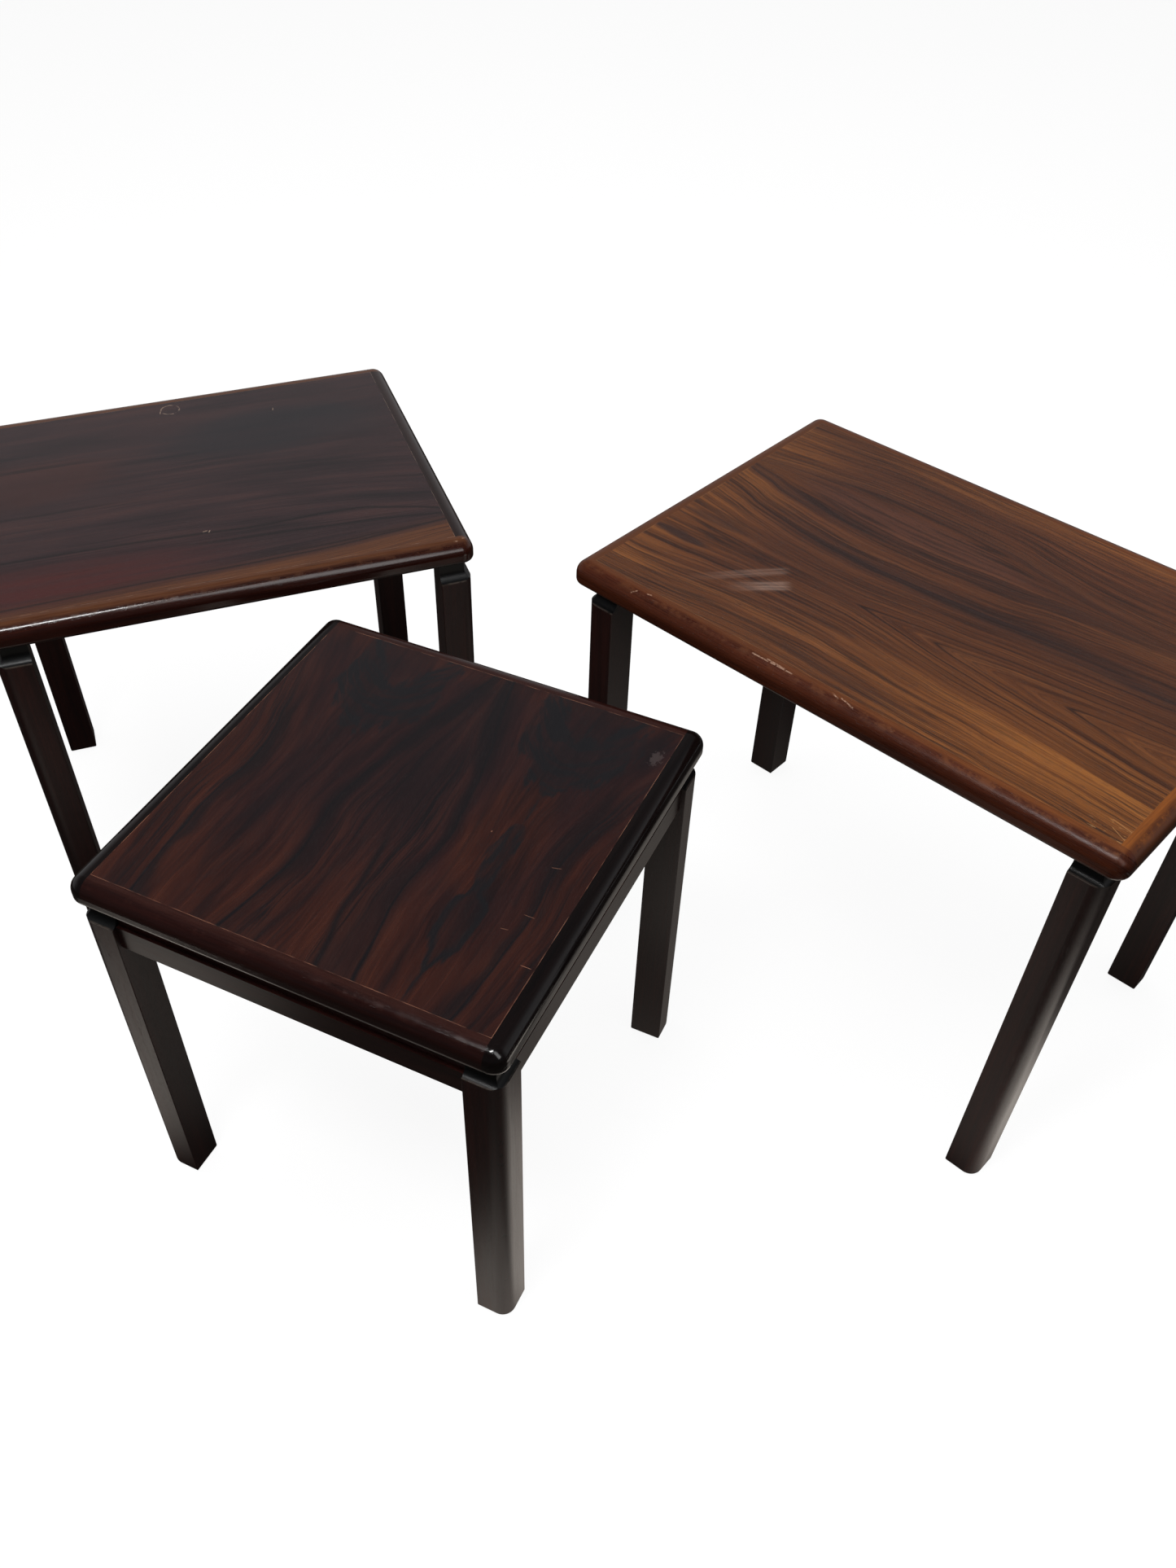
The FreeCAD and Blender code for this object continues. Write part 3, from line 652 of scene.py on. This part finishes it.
def leg_wood(table_name):
    """Stained leg, grain upright, with black paint in the notch under the top."""
    g = Graph(table_name + "_leg_wood")
    x, y, z = g.local(table_name)
    table = TABLES[table_name]
    side = g.add(x, y)
    broad = g.noise((x, 40.0), (y, 40.0), (z, 2.5))
    fine = g.noise((x, 420.0), (y, 420.0), (z, 14.0), roughness=0.6)
    tone = g.add(g.mul(broad, 0.55), g.mul(fine, 0.45))
    colour = g.ramp(tone,
                    (0.36, (0.0080, 0.0022, 0.0020)),
                    (0.50, (0.0165, 0.0038, 0.0032)),
                    (0.64, (0.0320, 0.0072, 0.0052)))
    open_pores = pores(g, z, side, length=0.010, width=0.0005, amount=0.4)
    colour = g.mix(g.mul(open_pores, 0.6), colour, (0.003, 0.002, 0.002))
    # Black paint covers every surface of the notch: the neck's outer faces and the cove.
    outside = g.math("MAXIMUM",
                     g.sub(g.math("ABSOLUTE", x), table["leg"][0] - NOTCH_DEPTH),
                     g.sub(g.math("ABSOLUTE", y), table["leg"][1] - NOTCH_DEPTH))
    brushed = g.mul(g.drift((x, 200.0), (y, 200.0), 1.0), 0.0012)
    notch_foot = table["leg_top"] - NOTCH_HEIGHT
    above = g.fade(g.add(z, brushed), notch_foot - 0.0006, notch_foot + 0.0002)
    paint = g.mul(g.fade(outside, -0.0012, -0.0004), above)
    colour = g.mix(paint, colour, (0.0026, 0.0030, 0.0036))
    # A thin pale line, broken here and there, on the sharp lip below the cove: a painted highlight
    # where that edge catches the light.
    highlight_breaks = g.fade(g.noise((x, 150.0), (y, 150.0), 6.0), 0.36, 0.50)
    painted_lip_highlight = g.mul(g.vein(z, notch_foot - 0.0004, 0.0006),
                g.fade(outside, NOTCH_DEPTH - 0.0022, NOTCH_DEPTH - 0.0010))
    colour = g.mix(g.mul(painted_lip_highlight, g.spread(highlight_breaks, 0.20, 0.70)), colour, (0.150, 0.120, 0.100))
    roughness = g.mix(paint, g.spread(fine, 0.34, 0.46), (0.40, 0.40, 0.40))
    height = g.mul(g.sub(g.mul(fine, 0.4), g.mul(open_pores, 0.6)), g.sub(1.0, paint))
    return g.finish(colour, roughness, height, 0.00008, specular=0.42)


def rail_wood(table_name):
    """Stained rail, grain along its length. The rebate above is redder."""
    g = Graph(table_name + "_rail_wood")
    x, y, z = g.local(table_name)
    table = TABLES[table_name]
    fine = g.noise((g.add(x, y), 16.0), (g.sub(x, y), 16.0), (z, 480.0))
    broad = g.noise((g.add(x, y), 4.0), (g.sub(x, y), 4.0), (z, 90.0))
    tone = g.add(g.mul(broad, 0.5), g.mul(fine, 0.5))
    colour = g.ramp(tone,
                    (0.36, (0.0080, 0.0030, 0.0026)),
                    (0.50, (0.0160, 0.0050, 0.0040)),
                    (0.64, (0.0290, 0.0085, 0.0060)))
    rebate_foot = table["leg_top"] - REBATE_HEIGHT
    rebate = g.fade(z, rebate_foot - 0.0005, rebate_foot + 0.0005)
    colour = g.mix(rebate, colour, g.mix(0.8, colour, (3.0, 1.6, 1.2), "MULTIPLY"))
    roughness = g.spread(fine, 0.30, 0.42)
    return g.finish(colour, roughness, fine, 0.00003)


def plain_wood(name, dark, light, roughness=0.6):
    """Unfinished wood or board out of sight: dowels, core and underside veneer."""
    g = Graph(name)
    x, y, z = g.local("large")
    chips = g.noise((x, 160.0), (y, 160.0), (z, 160.0), detail=4.0, roughness=0.7)
    broad = g.noise((x, 9.0), (y, 60.0), (z, 60.0))
    tone = g.add(g.mul(chips, 0.5), g.mul(broad, 0.5))
    colour = g.ramp(tone, (0.35, dark), (0.65, light))
    return g.finish(colour, g.spread(chips, roughness - 0.05, roughness + 0.1), chips, 0.0001)


def screw_steel():
    """Zinc-plated steel, slightly dulled."""
    g = Graph("zinc_steel")
    x, y, z = g.local("large")
    stain = g.noise((x, 900.0), (y, 900.0), (z, 300.0))
    colour = g.ramp(stain, (0.35, (0.42, 0.40, 0.34)), (0.65, (0.66, 0.65, 0.60)))
    g.shader.inputs["Metallic"].default_value = 1.0
    return g.finish(colour, g.spread(stain, 0.28, 0.45), stain, 0.00002)


# Both ends of each scuff on the front rolls, as x and y about the table's centre.
LARGE_SCUFFS = (
    ((-0.231, -0.208), (-0.226, -0.204)), ((-0.215, -0.202), (-0.210, -0.201)),
    ((-0.082, -0.2035), (-0.036, -0.2030)), ((-0.066, -0.2015), (-0.045, -0.2020)),
    ((0.008, -0.200), (0.016, -0.203)), ((0.018, -0.2005), (0.033, -0.204)))
MIDDLE_SCUFFS = (
    ((0.246, -0.2020), (0.250, -0.2005)), ((0.236, -0.205), (0.240, -0.205)))

MATERIALS = {
    "large_top_veneer": large_veneer(),
    "middle_top_veneer": middle_veneer(),
    "small_top_veneer": small_veneer(),
    "large_long": lipping("large", "long", (0.026, 0.0060, 0.0034), (0.082, 0.0195, 0.0076), 0.27,
                          worn=(0.160, 0.049, 0.0120), wear=0.9, worn_left=(0.100, 0.032, 0.0105),
                          specular=0.22, scuffs=LARGE_SCUFFS),
    "large_end": lipping("large", "end", (0.040, 0.0110, 0.0042), (0.115, 0.0320, 0.0085), 0.34,
                         worn=(0.225, 0.066, 0.0090), wear=0.9, worn_left=(0.080, 0.027, 0.0100),
                         specular=0.30),
    "middle_long": lipping("middle", "long", (0.011, 0.0030, 0.0025), (0.038, 0.0088, 0.0052), 0.14,
                           worn=(0.095, 0.034, 0.013), wear=0.9, reach=0.0050,
                           scuffs=MIDDLE_SCUFFS),
    "middle_end": lipping("middle", "end", (0.006, 0.0028, 0.0026), (0.018, 0.0065, 0.0048), 0.20),
    "small_long": lipping("small", "long", (0.0020, 0.0016, 0.0018), (0.0060, 0.0030, 0.0028), 0.13,
                          arris_highlight=0.55),
    "small_end": lipping("small", "end", (0.0072, 0.0023, 0.0022), (0.0200, 0.0052, 0.0042), 0.16,
                         worn=(0.029, 0.0082, 0.0056), wear=0.8, arris_highlight=0.75),
    "core": plain_wood("core_board", (0.30, 0.20, 0.12), (0.55, 0.40, 0.26), 0.8),
    "underside": plain_wood("underside_veneer", (0.060, 0.024, 0.012), (0.130, 0.055, 0.026), 0.55),
    "dowels": plain_wood("dowel_beech", (0.42, 0.28, 0.16), (0.60, 0.44, 0.28), 0.6),
    "screws": screw_steel(),
}
for table_name in TABLES:
    MATERIALS[table_name + "_leg"] = leg_wood(table_name)
    MATERIALS[table_name + "_rail"] = rail_wood(table_name)


HIDDEN_PIECES = {"top_core": "core", "underside_veneer": "underside", "top_screws": "screws"}


def material_for(node_name):
    """The material of a CAD node, from its name."""
    table_name, piece = node_name.split("_", 1)
    if piece == "top_veneer":
        return MATERIALS[node_name]
    if piece in ("lipping_front", "lipping_back"):
        return MATERIALS[table_name + "_long"]
    if piece in ("lipping_left", "lipping_right"):
        return MATERIALS[table_name + "_end"]
    if piece.endswith("dowels"):
        return MATERIALS["dowels"]
    if piece.startswith("leg"):
        return MATERIALS[table_name + "_leg"]
    if piece.startswith("rail"):
        return MATERIALS[table_name + "_rail"]
    return MATERIALS[HIDDEN_PIECES[piece]]


for node_name, node in frame["nodes"].items():
    node.data.materials.clear()
    node.data.materials.append(material_for(node_name))

# ---- camera -------------------------------------------------------------------------------
# A standing person's view, down and to the left across the set. Places in the room are given
# from the point on the floor under the camera: to the right, ahead, and up, in metres. The focal
# length and the sensor are in millimetres.
CAMERA_HEIGHT = 1.300
CAMERA_FROM_LARGE = Vector((0.4822, -1.0734, 0.0))
VIEW_TURN = math.radians(44.26)
VIEW_DOWN = math.radians(47.15)
FOCAL_LENGTH = 30.74
SENSOR = 36.0
SHIFT = (0.0321, 0.0596)

under_camera = TABLES["large"]["centre"] + CAMERA_FROM_LARGE
under_camera.z = 0.0
RIGHT = Vector((math.cos(VIEW_TURN), math.sin(VIEW_TURN), 0.0))
AHEAD = Vector((-math.sin(VIEW_TURN), math.cos(VIEW_TURN), 0.0))


def in_room(right, ahead, up):
    """A place in the room, seen from under the camera."""
    return under_camera + RIGHT * right + AHEAD * ahead + Vector((0.0, 0.0, up))


camera_data = bpy.data.cameras.new("camera")
camera_data.sensor_width = SENSOR
camera_data.lens = FOCAL_LENGTH
camera_data.shift_x, camera_data.shift_y = SHIFT
camera = bpy.data.objects.new("camera", camera_data)
camera.location = in_room(0.0, 0.0, CAMERA_HEIGHT)
camera.rotation_euler = (math.pi / 2 - VIEW_DOWN, 0.0, VIEW_TURN)
bpy.context.scene.collection.objects.link(camera)
bpy.context.scene.camera = camera


# ---- studio -------------------------------------------------------------------------------
def plane(name, size, height):
    """A flat square of floor under the set, which isn't part of the object."""
    half = size / 2
    mesh = bpy.data.meshes.new(name)
    corners = [(-half, -half, height), (half, -half, height),
               (half, half, height), (-half, half, height)]
    mesh.from_pydata(corners, [], [(0, 1, 2, 3)])
    floor = bpy.data.objects.new(name, mesh)
    bpy.context.scene.collection.objects.link(floor)
    return floor


def glow_material(name, glow, diffuse):
    """A pale surface that gives some light of its own, so that shadows on it stay soft."""
    g = Graph(name)
    g.shader.inputs["Base Color"].default_value = (diffuse, diffuse, diffuse, 1.0)
    g.shader.inputs["Roughness"].default_value = 1.0
    g.shader.inputs["Specular IOR Level"].default_value = 0.0
    g.shader.inputs["Emission Color"].default_value = (1.0, 1.0, 1.0, 1.0)
    g.shader.inputs["Emission Strength"].default_value = glow
    return g.material


# The white floor is what the camera sees. Its glow isn't cast on the tables: they stand over a
# darker floor that glows by itself with painted light and shade, and that only reflections and
# bounced light see.
WHITE_FLOOR_SIZE = 60.0
GREY_FLOOR_SIZE = 12.0
GREY_FLOOR_HEIGHT = -0.001
white_floor = plane("white_floor", WHITE_FLOOR_SIZE, 0.0)
white_floor.data.materials.append(glow_material("white_floor", glow=0.92, diffuse=0.14))
white_floor.visible_glossy = False
white_floor.visible_diffuse = False
white_floor.visible_shadow = False

# Glowing patches on the hidden floor that the tables reflect: painted pools of light. Each has a
# centre and a half size, to the right and ahead, and a strength.
PAINTED_LIGHT_PATCHES = (
    ((0.07, 0.69), (0.17, 0.13), 1.00), ((-0.62, 0.73), (0.22, 0.10), 0.85),
    ((0.36, 0.69), (0.15, 0.11), 0.30), ((-0.05, 0.55), (0.10, 0.08), 0.60),
    ((0.33, 1.10), (0.42, 0.36), 0.22), ((-0.12, 0.80), (0.20, 0.14), 0.18))


def painted_light_floor():
    """Floor that glows by itself: painted shade, with painted pools of light beside the nearest
    feet, in room directions.
    """
    g = Graph("painted_light_floor")
    parts = g.nodes.new("ShaderNodeSeparateXYZ")
    g.links.new(g.nodes.new("ShaderNodeTexCoord").outputs["Object"], parts.inputs["Vector"])
    from_x = g.sub(parts.outputs[0], under_camera.x)
    from_y = g.sub(parts.outputs[1], under_camera.y)
    right = g.add(g.mul(from_x, RIGHT.x), g.mul(from_y, RIGHT.y))
    ahead = g.add(g.mul(from_x, AHEAD.x), g.mul(from_y, AHEAD.y))
    # Beside the front right foot of the large table glows the brightest painted pool of light.
    brightest_light_pool = g.spot(right, ahead, (0.64, 0.66), (0.19, 0.24))
    patches = any_of(g, [brightest_light_pool] + [
        g.mul(g.spot(right, ahead, centre, half), strength)
        for centre, half, strength in PAINTED_LIGHT_PATCHES])
    g.shader.inputs["Base Color"].default_value = (0.0, 0.0, 0.0, 1.0)
    g.shader.inputs["Specular IOR Level"].default_value = 0.0
    g.feed(g.shader.inputs["Emission Color"],
           g.mix(patches, (0.035, 0.030, 0.027), (1.15, 1.05, 0.95)))
    g.feed(g.shader.inputs["Emission Strength"], g.spread(brightest_light_pool, 1.0, 1.4))
    return g.material


glowing_floor = plane("glowing_floor", GREY_FLOOR_SIZE, GREY_FLOOR_HEIGHT)
glowing_floor.data.materials.append(painted_light_floor())
glowing_floor.visible_camera = False
glowing_floor.visible_shadow = False

# A dim room: pale low down on the far side, darker overhead, dark behind the camera. Each level
# is the sine of the height above the horizon, and the brightness there.
ROOM_LEVELS = ((0.0, 0.45), (0.45, 0.36), (0.60, 0.16), (0.75, 0.07), (1.0, 0.06))
BLUE_TINT = 1.02            # the room's blue, next to its red and green
BEHIND_CAMERA = 0.12        # the share of light that is left on the camera's side
world = bpy.data.worlds.new("room")
bpy.context.scene.world = world
world.use_nodes = True
nodes, links = world.node_tree.nodes, world.node_tree.links
direction = nodes.new("ShaderNodeTexCoord").outputs["Generated"]
split = nodes.new("ShaderNodeSeparateXYZ")
links.new(direction, split.inputs["Vector"])
ramp = nodes.new("ShaderNodeValToRGB")
links.new(split.outputs[2], ramp.inputs["Fac"])
elements = ramp.color_ramp.elements
for position, level in ROOM_LEVELS:
    if 0.0 < position < 1.0:
        element = elements.new(position)
    else:                       # a new ramp has an element at each end
        element = elements[0 if position == 0.0 else -1]
    element.color = (level, level, level * BLUE_TINT, 1.0)
toward = nodes.new("ShaderNodeVectorMath")
toward.operation = "DOT_PRODUCT"
links.new(direction, toward.inputs[0])
toward.inputs[1].default_value = AHEAD
behind = nodes.new("ShaderNodeMapRange")
behind.interpolation_type = "SMOOTHSTEP"
for socket, value in (("From Min", -0.45), ("From Max", 0.25),
                      ("To Min", BEHIND_CAMERA), ("To Max", 1.0)):
    behind.inputs[socket].default_value = value
links.new(toward.outputs["Value"], behind.inputs["Value"])
links.new(ramp.outputs["Color"], nodes["Background"].inputs["Color"])
links.new(behind.outputs["Result"], nodes["Background"].inputs["Strength"])

# The camera sees a white backdrop instead of the room.
BACKDROP_RADIUS = 24.0
dome_mesh = bpy.data.meshes.new("backdrop")
shell = bmesh.new()
bmesh.ops.create_uvsphere(shell, u_segments=48, v_segments=24, radius=BACKDROP_RADIUS)
shell.to_mesh(dome_mesh)
shell.free()
backdrop = bpy.data.objects.new("backdrop", dome_mesh)
bpy.context.scene.collection.objects.link(backdrop)
backdrop.data.materials.append(glow_material("backdrop", glow=0.97, diffuse=0.0))
for ray in ("visible_glossy", "visible_diffuse", "visible_shadow", "visible_transmission"):
    setattr(backdrop, ray, False)


def soft_light(name, place, aim, size, power, seen_in_gloss=True, turn=0.0):
    """A rectangular soft light at one place, facing another, turned about its own axis."""
    data = bpy.data.lights.new(name, "AREA")
    data.shape = "RECTANGLE"
    data.size, data.size_y = size
    data.energy = power
    light = bpy.data.objects.new(name, data)
    light.location = place
    facing = (aim - place).to_track_quat("-Z", "Y")
    light.rotation_euler = (facing @ Quaternion((0.0, 0.0, 1.0), turn)).to_euler()
    light.visible_camera = False
    light.visible_glossy = seen_in_gloss
    bpy.context.scene.collection.objects.link(light)
    return light


# A level strip over the camera, in line with the middle table's front, starts the highlight along
# that table's front roll. Its place is given along that line and off it, from over the camera.
STRIP_LENGTH = 0.70
STRIP_WIDTH = 0.26
STRIP_HEIGHT = 2.40
STRIP_ALONG = -0.45
STRIP_OFF = -0.25
middle_turn = TABLES["middle"]["turn"]
line = Vector((math.cos(middle_turn), math.sin(middle_turn), 0.0))
off_line = Vector((math.sin(middle_turn), -math.cos(middle_turn), 0.0))
strip_place = under_camera + line * STRIP_ALONG + off_line * STRIP_OFF
strip_place.z = STRIP_HEIGHT
straight_down = strip_place - Vector((0.0, 0.0, 1.0))
soft_light("high_strip", strip_place, straight_down, size=(STRIP_LENGTH, STRIP_WIDTH), power=20.0,
           turn=middle_turn)

# A slanting strip behind the camera carries the highlight on, lower down the roll to the right.
low_strip = soft_light("low_strip", in_room(0.56, -0.29, 1.66), in_room(-0.22, 1.20, 0.48),
                       size=(1.65, 0.50), power=8.0, turn=math.radians(-69.0))
low_strip.visible_diffuse = False

MIDDLE_OF_SET = Vector((0.0, 0.0, 0.3))
soft_light("overhead", in_room(0.0, 1.2, 3.6), MIDDLE_OF_SET, size=(3.5, 3.5), power=121.0,
           seen_in_gloss=False)

bpy.context.scene.view_settings.view_transform = "Standard"
